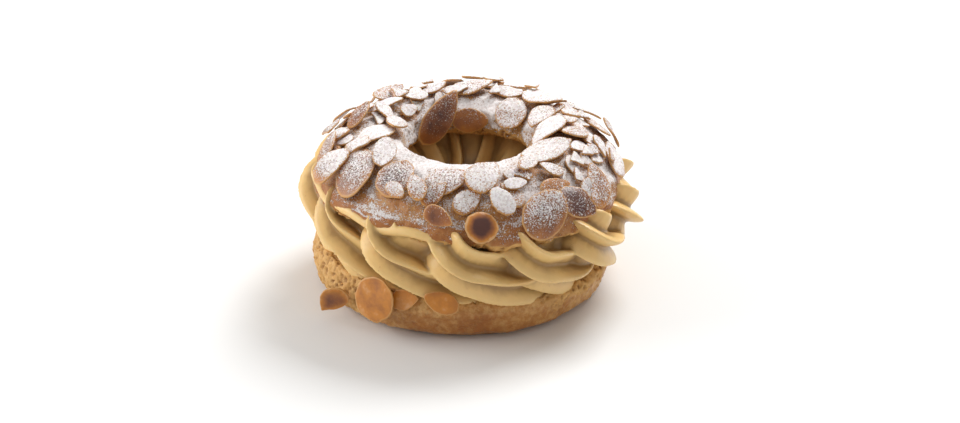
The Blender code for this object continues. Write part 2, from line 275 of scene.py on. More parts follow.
# %% Colours
SUGAR_WHITE = (0.86, 0.825, 0.815)
SUGAR_SHADE = (0.68, 0.61, 0.59)
GOLDEN_CRUST = (0.58, 0.275, 0.062)
BROWN_CRUST = (0.33, 0.110, 0.018)
PALE_CRUST = (0.69, 0.41, 0.145)
CRUMB = (0.60, 0.325, 0.090)
# crumb in painted shade, for pits, cracks and holes
PIT_SHADE = (0.25, 0.095, 0.020)
CREAM = (0.79, 0.530, 0.212)
# cream in painted shade, for the folds and the bubbles
CREAM_IN_SHADE = (0.36, 0.210, 0.075)
ALMOND_PALE = (0.78, 0.58, 0.36)
ALMOND_RIM = (0.60, 0.325, 0.105)
ALMOND_GOLD = (0.54, 0.205, 0.028)
ALMOND_BROWN = (0.29, 0.098, 0.026)
ALMOND_DARK = (0.085, 0.027, 0.018)
GRAIN_SHADE = (0.80, 0.77, 0.77)
FLOOR_SHADE = (0.81, 0.81, 0.805)
FLOOR_PALE = (0.83, 0.83, 0.825)

# %% [markdown]
# ## Powdered sugar as a layer of the finish
# Sugar falls from a sieve, so it lies where the crust faces up and nothing shelters it. The mesh
# stores that as a number from 0 to about 1. Up close the cover isn't even: it is specks, which run
# together where it is thick. Noise that is cut off at a level set by the cover makes both.

# %% Sugar specks
SPECK_SIZE, DRIFT_SIZE, HEAP_SIZE = 0.40 * MM, 3.0 * MM, 0.8 * MM
DRIFT_DEPTH = 0.55
SPECK_LEVEL, LEVEL_DROP = 0.65, 0.36
HAZE = 0.04


def sugar_cover(finish):
    """0 where the crust shows and 1 where a speck of sugar hides it."""
    sugar = finish.value("sugar")
    specks = finish.grain(SPECK_SIZE, 2.0, 0.75, 3.0)
    drifts = finish.grain(DRIFT_SIZE, 3.0, 0.6, 8.0)
    cover = sugar + (drifts - 0.5) * DRIFT_DEPTH
    return (specks + cover * LEVEL_DROP - SPECK_LEVEL).step(-0.02, 0.07) * sugar.step(0.0, 0.08)


def sugared(finish, colour, cover):
    """A colour with sugar specks over it, and a thin haze of dust between them."""
    haze = (finish.value("sugar") * HAZE).held()
    heaped = finish.grain(HEAP_SIZE, 2.0, 0.65, 9.0).step(0.36, 0.60)
    powder = finish.mix(heaped, SUGAR_SHADE, SUGAR_WHITE)
    return finish.mix(cover, finish.mix(haze, colour, SUGAR_WHITE), powder)


# %% [markdown]
# ## Reading a solid back
# The solids arrive as loose triangles. To work from one, a copy is merged into a proper mesh, and
# a search tree over its faces answers where a line meets it.

# %% Merge a copy and build its search tree
SAME_SPOT = 0.01 * MM


def merged(name):
    """A bmesh copy of a solid with its loose triangles joined."""
    bm = bmesh.new()
    bm.from_mesh(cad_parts[name].data)
    bmesh.ops.remove_doubles(bm, verts=bm.verts, dist=SAME_SPOT)
    bm.verts.ensure_lookup_table()
    return bm


def search_tree(name):
    """The search tree of a solid."""
    bm = merged(name)
    tree = BVHTree.FromBMesh(bm)
    bm.free()
    return tree


# %% [markdown]
# ## The skin of a choux ring
# The base and the lid are rings, so a fine skin for them is a grid: one way round the ring and the
# other way round its section. Each section is felt out from the inside with rays, spaced evenly
# along its outline, and the facets of the solid are then smoothed away. A grid has no
# poles and unrolls into a neat map for the baked finish.

# %% Feel out a ring
RAYS = 360
FELT_FROM = 0.45  # share of the solid's height where the first rays start
PAST_THE_RING = 0.1  # metres, well outside any ring
FINER = 4  # rows of the grid for each section that is felt out
SOFT_PASSES = 8


def section_outline(tree, axis, theta, level):
    """One section of the ring as distances out and heights, felt out from its middle."""
    out = Vector((math.cos(theta), math.sin(theta), 0))
    start = Vector((axis.x, axis.y, level))
    inner = tree.ray_cast(start, out)[0]
    outer = tree.ray_cast(start + out * PAST_THE_RING, -out)[0]
    middle = (inner + outer) / 2
    outline = []
    for k in range(RAYS):
        phi = TURN * k / RAYS
        hit = tree.ray_cast(middle, out * math.cos(phi) + UP * math.sin(phi))[0]
        outline.append(((hit - start).dot(out), hit.z))
    return np.array(outline)


def evenly(outline, count):
    """The same closed outline with its points evenly spaced."""
    closed = np.vstack([outline, outline[:1]])
    lengths = np.hypot(*np.diff(closed, axis=0).T)
    along = np.concatenate([[0], np.cumsum(lengths)])
    wanted = np.linspace(0, along[-1], count, endpoint=False)
    return np.stack([np.interp(wanted, along, closed[:, k]) for k in (0, 1)], axis=1)


def smoothed(grid, axis, passes):
    """Blur a closed grid along one axis."""
    for _ in range(passes):
        grid = 0.5 * grid + 0.25 * (np.roll(grid, 1, axis) + np.roll(grid, -1, axis))
    return grid


def ring_grid(name, around, section, passes_around, passes_section):
    """The smooth skin of a ring solid, as a grid of points."""
    tree = search_tree(name)
    low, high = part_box(name)
    axis, level = (low + high) / 2, low.z + FELT_FROM * (high.z - low.z)
    coarse = around // FINER
    rows = []
    for i in range(coarse):
        rows.append(evenly(section_outline(tree, axis, TURN * i / coarse, level), section))
    grid = smoothed(smoothed(np.array(rows), 0, passes_around), 1, passes_section)
    closed = np.concatenate([grid, grid[:1]])
    spots = np.arange(around) / FINER
    before = spots.astype(int)
    share = (spots - before)[:, None, None]
    grid = closed[before] * (1 - share) + closed[before + 1] * share
    grid = smoothed(grid, 0, SOFT_PASSES)
    theta = TURN * np.arange(around)[:, None] / around
    x = axis.x + grid[..., 0] * np.cos(theta)
    y = axis.y + grid[..., 0] * np.sin(theta)
    return np.stack([x, y, grid[..., 1]], axis=2)


# %% [markdown]
# A grid becomes a mesh with one quad for each cell. Its map coordinates are the grid's own steps.

# %% Grid to mesh
def new_piece(name, mesh):
    """Put a mesh in the scene."""
    piece = bpy.data.objects.new(name, mesh)
    bpy.context.collection.objects.link(piece)
    return piece


def store(mesh, name, values):
    """Keep one number for each point of the mesh."""
    layer = mesh.attributes.get(name) or mesh.attributes.new(name, "FLOAT", "POINT")
    layer.data.foreach_set("value", np.asarray(values, dtype=np.float32).ravel())


def grid_mesh(name, grid):
    """Skin a grid that is closed both ways, with a map called OFBake."""
    around, section = grid.shape[:2]
    i, j = np.meshgrid(np.arange(around), np.arange(section), indexing="ij")
    i, j = i.ravel(), j.ravel()
    following = (i + 1) % around, (j + 1) % section
    corners = [(i, j), (following[0], j), (following[0], following[1]), (i, following[1])]
    quads = np.stack([a * section + b for a, b in corners], axis=1)
    mesh = bpy.data.meshes.new(name)
    mesh.from_pydata(grid.reshape(-1, 3).tolist(), [], quads.tolist())
    steps = [(0, 0), (1, 0), (1, 1), (0, 1)]
    u = np.stack([(i + a) / around for a, _ in steps], axis=1)
    v = np.stack([(j + b) / section for _, b in steps], axis=1)
    chart = mesh.uv_layers.new(name="OFBake")
    chart.data.foreach_set("uv", np.stack([u, v], axis=2).astype(np.float32).ravel())
    mesh.shade_smooth()
    return mesh


def points_of(mesh):
    """The mesh's points as an array."""
    flat = np.empty(3 * len(mesh.vertices), dtype=np.float32)
    mesh.vertices.foreach_get("co", flat)
    return flat.reshape(-1, 3)


def normals_of(mesh):
    """The mesh's point normals as an array."""
    flat = np.empty(3 * len(mesh.vertices), dtype=np.float32)
    mesh.vertex_normals.foreach_get("vector", flat)
    return flat.reshape(-1, 3)


# %% [markdown]
# ## Choux crust as a rule
# Choux skin is lumpy at the scale of a pea, wrinkled at the scale of a grain of rice, and split
# by fine cracks. Where the ring was cut it shows an open crumb full of holes. A Geometry Nodes
# tree gives all of that to any ring: it moves each point along its normal by a height that is
# added up from noise, and notes how deep each pit is. The sizes are inputs, so that the lid can
# have larger lumps and the base deeper cracks and holes.

# %% The crust tree
class Shaper(Bench):
    """A Geometry Nodes tree under construction: a geometry, its sizes and a finish go in."""

    def __init__(self, name, sizes):
        super().__init__(bpy.data.node_groups.new(name, "GeometryNodeTree"))
        face = self.tree.interface
        face.new_socket("Geometry", in_out="INPUT", socket_type="NodeSocketGeometry")
        face.new_socket("Geometry", in_out="OUTPUT", socket_type="NodeSocketGeometry")
        for key, value in sizes.items():
            kind = "NodeSocketInt" if isinstance(value, int) else "NodeSocketFloat"
            face.new_socket(key, in_out="INPUT", socket_type=kind).default_value = value
        face.new_socket("Finish", in_out="INPUT", socket_type="NodeSocketMaterial")
        self.way_in = self.tree.nodes.new("NodeGroupInput")
        self.way_out = self.tree.nodes.new("NodeGroupOutput")

    def given(self, name):
        """One of the tree's named inputs."""
        return Wire(self, self.way_in.outputs[name])

    def deliver(self, geometry):
        """Make instances real, give everything the finish, and put it out."""
        real = self.node("GeometryNodeRealizeInstances", {}, {0: geometry})
        inputs = {"Geometry": real, "Material": self.given("Finish")}
        covered = self.node("GeometryNodeSetMaterial", {}, inputs)
        self.tree.links.new(covered.socket, self.way_out.inputs[0])

    def scaled(self, vector, share):
        """A vector made longer or shorter."""
        inputs = {0: vector, "Scale": share}
        return self.node("ShaderNodeVectorMath", {"operation": "SCALE"}, inputs)

    def field(self, name, kind="FLOAT"):
        """A value stored on the points."""
        settings = {"data_type": kind}
        return self.node("GeometryNodeInputNamedAttribute", settings, {"Name": name}, "Attribute")

    def grain(self, size, detail=2.0, seed=0.0):
        """Soft noise from -1 to 1 whose lumps are about size across."""
        inputs = {"Scale": 1 / size, "Detail": detail, "W": seed}
        fac = self.node("ShaderNodeTexNoise", {"noise_dimensions": "4D"}, inputs, "Fac")
        return fac * 2.0 - 1.0

    def finished(self, piece, values):
        """Run the tree on a piece, with its inputs set, and leave a plain mesh behind."""
        modifier = piece.modifiers.new(self.tree.name, "NODES")
        modifier.node_group = self.tree
        for item in self.tree.interface.items_tree:
            if item.in_out == "INPUT" and item.name in values:
                modifier[item.identifier] = values[item.name]
        graph = bpy.context.evaluated_depsgraph_get()
        mesh = bpy.data.meshes.new_from_object(piece.evaluated_get(graph))
        piece.modifiers.clear()
        piece.data = mesh
        mesh.name = piece.name
        return piece


def crust_tree():
    """Lumps, wrinkles, cracks and, where the crumb shows, holes."""
    sizes = {"Lump": 0.25 * MM, "Wrinkle": 0.10 * MM, "Crack": 0.25 * MM, "Hole": 0.7 * MM}
    shaper = Shaper("choux crust", sizes)
    crumb = shaper.field("crumb")
    rough = shaper.field("rough")
    lumps = shaper.grain(5.5 * MM, 3.0, 1.0) * shaper.given("Lump")
    wrinkles = shaper.grain(1.3 * MM, 3.0, 2.0) * shaper.given("Wrinkle") * (0.5 + rough * 1.5)
    warp = shaper.node("ShaderNodeTexNoise", {}, {"Scale": 1 / (2.5 * MM), "Detail": 2.0}, "Color")
    spot = shaper.node("GeometryNodeInputPosition")
    sway = shaper.scaled(warp, 2.6 * MM)
    bent = shaper.node("ShaderNodeVectorMath", {"operation": "ADD"}, {0: spot, 1: sway})
    seams = shaper.cells(bent, 4.2 * MM, "DISTANCE_TO_EDGE")
    cracks = (1.0 - seams.step(0.0, 0.16)) * shaper.grain(7 * MM, 1.0, 5.0).step(-0.1, 0.4)
    pores = shaper.cells(bent, 1.6 * MM, "SMOOTH_F1", Smoothness=0.2)
    pinholes = shaper.cells(bent, 0.95 * MM)
    holes = (1.0 - pores.step(0.15, 0.50) + (0.5 - pinholes) * 0.35) * crumb
    height = lumps + wrinkles - cracks * shaper.given("Crack") * rough - holes * shaper.given("Hole")
    normal = shaper.node("GeometryNodeInputNormal")
    push = shaper.scaled(normal, height)
    pits = (holes + cracks * rough * 0.6).held()
    inputs = {"Geometry": shaper.given("Geometry"), "Name": "pit", "Value": pits}
    noted = shaper.node("GeometryNodeStoreNamedAttribute", {"data_type": "FLOAT"}, inputs)
    shaper.deliver(shaper.node("GeometryNodeSetPosition", {}, {"Geometry": noted, "Offset": push}))
    return shaper


crust = crust_tree()
print(f"crust tree: {len(crust.tree.nodes)} nodes")

# %% [markdown]
# ## The finish of the crust
# Baked choux runs from pale straw through gold to brown, in patches, and its cracks and pits
# are painted dark as shade. The cut crumb is paler, with painted shade in its holes. All of it is
# mixed from noise at three scales and four values stored on the mesh: how brown a place is
# baked, with painted shade on the front of the base, how much of it is open crumb, how deep its
# pits are, and how much sugar it caught.

# %% Crust finish
def crust_finish(name, brownness, roughness):
    """The finish of one half of the ring; brownness is how much browner than its mesh says."""
    finish = Finish(name)
    broad = finish.grain(9 * MM, 3.0, 0.55, 1.0)
    fine = finish.grain(1.4 * MM, 3.0, 0.6, 2.0)
    dots = finish.grain(0.45 * MM, 2.0, 0.6, 4.0)
    baked = (finish.value("brown") + (broad - 0.5) * 1.3 + (fine - 0.5) * 1.1 + brownness).held()
    skin = finish.mix(baked, finish.mix(fine.step(0.35, 0.62), PALE_CRUST, GOLDEN_CRUST), BROWN_CRUST)
    pit = finish.value("pit")
    # Painted shade: pits, cracks and the holes of the open crumb are darkened.
    hollow = (pit * 1.1 + (0.55 - dots) * 0.9).held()
    open_crumb = finish.mix(hollow, finish.mix(fine.step(0.35, 0.65), CRUMB, PALE_CRUST), PIT_SHADE)
    crumb = (finish.value("crumb") + (fine - 0.5) * 0.5).step(0.30, 0.60)
    colour = finish.mix(crumb, finish.mix(pit * 0.6, skin, PIT_SHADE), open_crumb)
    cover = sugar_cover(finish)
    relief = finish.bump(dots * 0.5 + fine * 0.5, 0.40 * MM)
    relief = finish.bump(cover, 0.12 * MM, relief)
    roughness = roughness + crumb * 0.30 + cover * 0.3
    linked = {"Base Color": sugared(finish, colour, cover), "Roughness": roughness, "Normal": relief}
    return finish.finish(linked, {"Specular IOR Level": 0.45})


base_crust = crust_finish("baked choux base", 0.0, 0.36)
lid_crust = crust_finish("baked choux lid", 0.42, 0.46)

# %% [markdown]
# ## The base
# The lower half of the ring. Its upper face and the edge round it are torn crumb, where the knife
# went through, and the crumb shows down its left and right sides too. The skin at the front is
# closed, and is painted darker there as shade; the skin also darkens towards the bottom.
# Underneath there are no cracks or holes, and what would bulge below the floor is pressed flat.
# All this is painted as values on the points, by how high they are, which way they face, and how
# far round the ring they lie.

# %% Values on points
def slope(values, low, high):
    """0 below low, 1 above high, smooth between."""
    share = np.clip((values - low) / (high - low), 0, 1)
    return share * share * (3 - 2 * share)


def patches(spots, size, seed):
    """Soft noise from -1 to 1 at each spot."""
    shift = Vector((seed * 9.1, seed * 3.3, 0))
    return np.array([noise.noise(Vector(spot) / size + shift) for spot in spots.tolist()])


def degrees_round(spots, start):
    """How far round the ring each spot lies from a start, in degrees."""
    return np.degrees(np.arctan2(spots[:, 1], spots[:, 0])) - start


def nearest_way(degrees):
    """The same angles between -180 and 180."""
    return (degrees + 180) % 360 - 180


def fading(degrees, spread):
    """1 at 0 degrees, and less away from there."""
    return np.exp(-((degrees / spread) ** 2))


def away_from(axis, spots):
    """How far each spot is from the ring's upright axis."""
    return np.hypot(spots[:, 0] - axis.x, spots[:, 1] - axis.y)


def crusted(name, solid, around, section, passes):
    """A ring solid's fine skin as a piece, with its points and the way they face."""
    piece = new_piece(name, grid_mesh(name, ring_grid(solid, around, section, passes, passes)))
    return piece, points_of(piece.data), normals_of(piece.data)


# %% Base ring
BASE_AROUND, BASE_SECTION = 560, 160
TORN_LEFT, TORN_LEFT_SPREAD = -160, 45
TORN_RIGHT, TORN_RIGHT_SPREAD = -25, 40
# where the front of the base gets painted shade, and how far round it spreads
SHADED_FRONT, SHADED_FRONT_SPREAD = -85, 45
BASE_RELIEF = {"Lump": 0.70 * MM, "Wrinkle": 0.34 * MM, "Crack": 0.60 * MM, "Hole": 1.10 * MM}

base, spots, facing = crusted("choux_base_crust", "choux_base", BASE_AROUND, BASE_SECTION, 3)
base_low, base_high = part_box("choux_base")
wander = patches(spots, 9 * MM, 1)
underside = slope(-facing[:, 2], 0.6, 0.95)
cut_face = slope(facing[:, 2], 0.55, 0.9)
height_share = (spots[:, 2] - base_low.z) / (base_high.z - base_low.z)
left_side = fading(nearest_way(degrees_round(spots, TORN_LEFT)), TORN_LEFT_SPREAD)
left_side = left_side * slope(0.85 * height_share + 0.4 * wander, -0.05, 0.35)
right_side = fading(degrees_round(spots, TORN_RIGHT), TORN_RIGHT_SPREAD)
right_side = right_side * slope(height_share + 0.3 * wander, 0.30, 0.60)
torn = np.maximum(cut_face, slope(height_share + 0.30 * wander, 0.74, 0.95) * 0.9)
torn = np.maximum(torn, 0.85 * np.maximum(left_side, right_side))
rough = (1 - underside) * np.clip(0.75 + 0.5 * wander, 0.2, 1.2)
# Painted shade on the front of the base, which faces away from the lamps.
front_shade = fading(degrees_round(spots, SHADED_FRONT), SHADED_FRONT_SPREAD)
front_shade = front_shade * slope(height_share, 0.05, 0.2) * (1 - slope(height_share, 0.5, 0.75))
bottom_rim = 1 - slope(height_share, 0.0, 0.14)
store(base.data, "crumb", torn * (1 - underside))
store(base.data, "rough", rough)
store(base.data, "brown", np.clip(0.16 + 0.62 * front_shade + 0.5 * bottom_rim, 0, 1))
store(base.data, "sugar", np.zeros(len(spots)))
crust.finished(base, {**BASE_RELIEF, "Finish": base_crust})
spots = points_of(base.data)
spots[:, 2] = np.maximum(spots[:, 2], 0)
base.data.vertices.foreach_set("co", spots.ravel())
print(f"base: {len(base.data.polygons)} quads")

# %% [markdown]
# ## The lid
# The upper half. Its dome has larger lumps than the base and shallower cracks. Its underside is
# open crumb, and its lip is ragged, and lifted where the cream pushes out from under it. The steep
# outer rim caught the most heat and is the brownest.

# %% Lid ring
LID_AROUND, LID_SECTION = 580, 164
LIFTED_SIDE, LIFTED_SPREAD, LIFTED_BY = -128, 38, 2.8
LID_RELIEF = {"Lump": 1.05 * MM, "Wrinkle": 0.28 * MM, "Crack": 0.45 * MM, "Hole": 0.80 * MM}

lid, spots, facing = crusted("choux_lid_crust", "choux_lid", LID_AROUND, LID_SECTION, 2)
lid_low, lid_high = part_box("choux_lid")
lid_axis = (lid_low + lid_high) / 2
wander = patches(spots, 7 * MM, 2)
away = away_from(lid_axis, spots)
below = slope(-facing[:, 2], 0.15, 0.6)
lip = slope(-facing[:, 2] + 0.25 * wander, -0.15, 0.25)
inner_wall = slope(-away, -21 * MM, -18.5 * MM) * slope(0.8 - facing[:, 2] + 0.3 * wander, 0.0, 0.5)
outer_lip = slope(away, 37 * MM, 42 * MM) * slope(lid_axis.z - spots[:, 2], 0 * MM, 6 * MM)
lifted = fading(nearest_way(degrees_round(spots, LIFTED_SIDE)), LIFTED_SPREAD)
ragged = 1.6 * patches(spots, 6 * MM, 11) + 0.7 * patches(spots, 2.4 * MM, 12) - 0.2
spots[:, 2] += outer_lip * (ragged + LIFTED_BY * lifted) * MM
lid.data.vertices.foreach_set("co", spots.ravel())
outer_rim = slope(away, 34 * MM, 42 * MM) * slope(1 - facing[:, 2], 0.15, 0.8)
store(lid.data, "crumb", np.maximum(np.maximum(below, lip * 0.8), inner_wall * 0.5))
store(lid.data, "rough", np.clip(0.45 + 0.5 * wander + 0.5 * lip, 0, 1.2))
store(lid.data, "brown", np.clip(0.20 + 0.30 * outer_rim - 0.35 * lip, 0, 1))
crust.finished(lid, {**LID_RELIEF, "Finish": lid_crust})
print(f"lid: {len(lid.data.polygons)} quads")

# %% [markdown]
# ## The piped cream
# The cream is one rope from a star nozzle, laid in loops: the hand moves round the ring while it
# draws small circles. Sweeping a star along that path is exactly what the nozzle did, so a
# Geometry Nodes tree does it: the path becomes a curve, an up direction stored on its points keeps
# the star level, and a tilt turns it. The swept loops run into each other, so they are fused
# further down, once they have a finish.

# %% The nozzle's path
LOOPS = 13
LOOP_START = 1.2
LOOP_CENTRE_RADIUS = 30.6 * MM
LOOP_REACH, LOOP_SPAN, LOOP_SPAN_OUTSIDE = 9.3 * MM, 7.75 * MM, 4.0 * MM
LOOP_FALL, LOOP_DROOP, LOOP_TUCK = 8.0 * MM, 4.2 * MM, 0.9
LID_PRESS = 0.65
ROPE_LEVEL, ROPE_LEAN = 23.6 * MM, -0.04
SWELL_DROP, SWELL_STRETCH, SWELL_FREE = 1.2 * MM, 0.45, 3.5 * MM
SWELL_DIRECTION, SWELL_SPREAD = math.radians(-145), math.radians(55)
UNSTEADY = 0.8 * MM
CREAM_AXIS = Vector((0.1, 0.6, 0)) * MM
STEPS_IN_LOOP = 44
ROPE_FINS = 6
ROPE_TWIST = -47 / (ROPE_FINS * LOOPS)  # a whole number of fins in all, so that the ends match


def drift(angle, seed):
    """The hand's slow wander, from about -1 to 1, the same after a full turn of the ring."""
    at = Vector((3.0 * math.cos(angle) + 7.3 * seed, 3.0 * math.sin(angle), 1.7 * seed))
    return 1.6 * noise.noise(at)


def swell_at(place):
    """1 where the cream swells out round the lid's rim, and less away from there."""
    away = math.remainder(math.atan2(place.y, place.x) - SWELL_DIRECTION, TURN)
    return math.exp(-((away / SWELL_SPREAD) ** 2))


def nozzle(t):
    """Where the nozzle is after t, which grows by one turn for each loop, and which way is up."""
    theta = (t + LOOP_START) / LOOPS
    out = Vector((math.cos(theta), math.sin(theta), 0))
    along = Vector((-math.sin(theta), math.cos(theta), 0))
    reach = LOOP_REACH + UNSTEADY * drift(theta, 5)
    span = LOOP_SPAN + LOOP_SPAN_OUTSIDE * math.cos(t) + UNSTEADY * drift(theta, 6)
    radius = LOOP_CENTRE_RADIUS + reach * math.cos(t + LOOP_TUCK) + UNSTEADY * drift(theta, 7)
    place = CREAM_AXIS + out * radius + along * (span * math.sin(t))
    swell = swell_at(place)
    level = ROPE_LEVEL + ROPE_LEAN * place.x - SWELL_DROP * swell
    rise = (1 + SWELL_STRETCH * swell) * (-LOOP_FALL * math.sin(t) - LOOP_DROOP * math.cos(t))
    place.z = level + UNSTEADY * drift(theta, 8) + (rise if rise < 0 else rise * LID_PRESS)
    up = UP + out * (LOOP_DROOP / LOOP_REACH) + along * (LOOP_FALL / span)
    return place, up


def path_mesh():
    """The path as a chain of edges that carries its up direction and its turn."""
    count = LOOPS * STEPS_IN_LOOP + 2
    turns = [TURN * k / STEPS_IN_LOOP for k in range(count)]
    places, ups = zip(*[nozzle(t) for t in turns])
    mesh = bpy.data.meshes.new("nozzle path")
    mesh.from_pydata(places, [(k, k + 1) for k in range(count - 1)], [])
    layer = mesh.attributes.new("up", "FLOAT_VECTOR", "POINT")
    layer.data.foreach_set("vector", [value for up in ups for value in up])
    store(mesh, "turn", turns)
    return mesh


# %% [markdown]
# The star is a circle whose radius swells at each fin. A sine folded at zero gives narrow fins
# with broad, round valleys between them, and a little rounding takes the edge off the fins.

# %% The sweep
ROPE_SIDES = 60
FIN_ROUNDING = 0.22


def sweep_tree():
    """A star-shaped rope along a path of edges."""
    sizes = {"Valley Radius": 3.0 * MM, "Fin Height": 5.6 * MM, "Fins": float(ROPE_FINS), "Twist": ROPE_TWIST}
    shaper = Shaper("piped rope", sizes)
    path = shaper.node("GeometryNodeMeshToCurve", {}, {"Mesh": shaper.given("Geometry")})
    up = shaper.field("up", "FLOAT_VECTOR")
    path = shaper.node("GeometryNodeSetCurveNormal", {"mode": "FREE"}, {"Curve": path, "Normal": up})
    tilt = shaper.field("turn") * shaper.given("Twist")
    path = shaper.node("GeometryNodeSetCurveTilt", {}, {"Curve": path, "Tilt": tilt})
    inputs = {"Resolution": ROPE_SIDES, "Radius": 1.0}
    circle = shaper.node("GeometryNodeCurvePrimitiveCircle", {}, inputs)
    psi = shaper.node("GeometryNodeInputIndex") * (TURN / ROPE_SIDES)
    swing = (psi * shaper.given("Fins") * 0.5).math("SINE")
    fin = 1.0 + FIN_ROUNDING - (swing * swing + FIN_ROUNDING**2).math("SQRT")
    radius = shaper.given("Valley Radius") + fin * shaper.given("Fin Height")
    spot = shaper.scaled(shaper.node("GeometryNodeInputPosition"), radius)
    star = shaper.node("GeometryNodeSetPosition", {}, {"Geometry": circle, "Position": spot})
    inputs = {"Curve": path, "Profile Curve": star, "Fill Caps": True}
    shaper.deliver(shaper.node("GeometryNodeCurveToMesh", {}, inputs))
    return shaper


# %% [markdown]
# Praline cream is smooth and slightly glossy. It keeps its pale colour on its crests and is
# painted darker and browner in its folds, as shade. A value on the mesh tells the two apart.
# Small air bubbles show as pinpricks, in patches, with painted shade in them.

# %% Cream finish
def cream_finish():
    """Cream that reads its crests and folds from the mesh, with painted shade in the folds and bubbles."""
    finish = Finish("praline cream")
    broad = finish.grain(11 * MM, 2.0, 0.5, 1.0)
    fine = finish.grain(1.1 * MM, 3.0, 0.6, 2.0)
    bubbles = finish.cells(finish.place, 1.2 * MM).step(0.06, 0.15)
    sparse = finish.grain(6 * MM, 1.0, 0.5, 6.0).step(0.46, 0.60)
    pinpricks = (1.0 - bubbles) * sparse
    # Painted shade: the folds and the bubbles' pinpricks are darkened and browned.
    fold_shade = 1.0 - finish.value("ridge")
    tone = (fold_shade.step(0.15, 0.90) * 0.95 + (broad - 0.5) * 0.45 + (fine - 0.5) * 0.20).held()
    colour = finish.mix(pinpricks * 0.30, finish.mix(tone, CREAM, CREAM_IN_SHADE), CREAM_IN_SHADE)
    relief = finish.bump(fine, 0.05 * MM)
    relief = finish.bump(1.0 - pinpricks, 0.14 * MM, relief)
    linked = {"Base Color": colour, "Roughness": 0.30 + fine * 0.12, "Normal": relief}
    plain = {
        "Subsurface Weight": 0.15,
        "Subsurface Radius": (1.0, 0.55, 0.25),
        "Subsurface Scale": 0.8 * MM,
        "Specular IOR Level": 0.45,
    }
    return finish.finish(linked, plain)


cream_skin = cream_finish()

# %% [markdown]
# The loops leave hollows in the middle of the coil, which a plain ring fills, and the lid squeezes
# a soft roll out where the cream swells. A voxel remesh fuses all of it to one skin, a little
# smoothing rounds the ridges as soft cream does, and a decimation thins what is finer than the
# shape needs.
# What stands up into the lid is then pressed flatter, and less so where the cream swells out.

# %% Pipe, fuse and smooth the cream
CREAM_VOXEL = 0.45 * MM
CREAM_TRIANGLES = 192_000
SOFTENING, SOFTENING_PASSES = 0.5, 1
PRESSED_LEVEL, PRESSED_GIVE = 32.8 * MM, 2.5 * MM
CORE_RADIUS, CORE_HALF_WIDTH, CORE_HALF_HEIGHT = 31.0 * MM, 9.0 * MM, 10.0 * MM
CORE_AROUND, CORE_SIDES = 96, 32
LIP_LEVEL, LIP_THICKNESS = 33.6 * MM, 1.4 * MM
LIP_TUCKED, LIP_OUT, LIP_EAGER = 38 * MM, 5.3 * MM, 1.6
LIP_AROUND, LIP_SIDES = 300, 14

rope = sweep_tree().finished(new_piece("piped_praline_cream", path_mesh()), {"Finish": cream_skin})


def ring_core(radius, half_width, half_height, level):
    """A plain ring that fills the middle of the coil, where the loops' hollows meet."""
    rows = []
    for i in range(CORE_AROUND):
        theta = TURN * i / CORE_AROUND
        row = []
        for j in range(CORE_SIDES):
            phi = TURN * j / CORE_SIDES
            away = radius + half_width * math.cos(phi)
            height = level + ROPE_LEAN * away * math.cos(theta) + half_height * math.sin(phi)
            row.append((away * math.cos(theta), away * math.sin(theta), height))
        rows.append(row)
    return grid_mesh("cream core", np.array(rows))


def squeezed_lip(level, thickness):
    """The soft roll that the lid presses out along its rim, on the side where the cream swells."""
    rows = []
    for i in range(LIP_AROUND):
        theta = TURN * i / LIP_AROUND
        out = Vector((math.cos(theta), math.sin(theta), 0))
        away = LIP_TUCKED + LIP_OUT * min(1.0, LIP_EAGER * swell_at(out))
        height = level + UNSTEADY * (1.2 * drift(theta, 9) - math.sin(LOOPS * theta - LOOP_START))
        row = []
        for j in range(LIP_SIDES):
            phi = TURN * j / LIP_SIDES
            row.append(out * (away + thickness * math.cos(phi)) + UP * (height + thickness * math.sin(phi)))
        rows.append(row)
    return grid_mesh("squeezed lip", np.array(rows))


def fused(piece, extras):
    """Join meshes into a piece, fuse them to one skin, thin it, and press it under the lid."""
    bm = bmesh.new()
    bm.from_mesh(piece.data)
    for extra in extras:
        bm.from_mesh(extra)
    bmesh.ops.recalc_face_normals(bm, faces=bm.faces)
    bm.to_mesh(piece.data)
    bm.free()
    fuse = piece.modifiers.new("fuse", "REMESH")
    fuse.mode = "VOXEL"
    fuse.voxel_size = CREAM_VOXEL
    soft = piece.modifiers.new("soften", "SMOOTH")
    soft.factor, soft.iterations = SOFTENING, SOFTENING_PASSES
    graph = bpy.context.evaluated_depsgraph_get()
    full = 2 * len(piece.evaluated_get(graph).data.polygons)
    thin = piece.modifiers.new("thin", "DECIMATE")
    thin.ratio = CREAM_TRIANGLES / full
    graph = bpy.context.evaluated_depsgraph_get()
    mesh = bpy.data.meshes.new_from_object(piece.evaluated_get(graph))
    for vert in mesh.vertices:
        over = max(vert.co.z - PRESSED_LEVEL - SWELL_FREE * swell_at(vert.co), 0)
        vert.co.z -= over * over / (over + PRESSED_GIVE)
    piece.modifiers.clear()
    piece.data = mesh
    mesh.shade_smooth()


core = ring_core(CORE_RADIUS, CORE_HALF_WIDTH, CORE_HALF_HEIGHT, ROPE_LEVEL)
fused(rope, (core, squeezed_lip(LIP_LEVEL, LIP_THICKNESS)))
rope.data.materials.clear()
rope.data.materials.append(cream_skin)

# %% Tell crests from folds
CREST_ROUNDS, CREST_HEIGHT = 14, 0.45 * MM


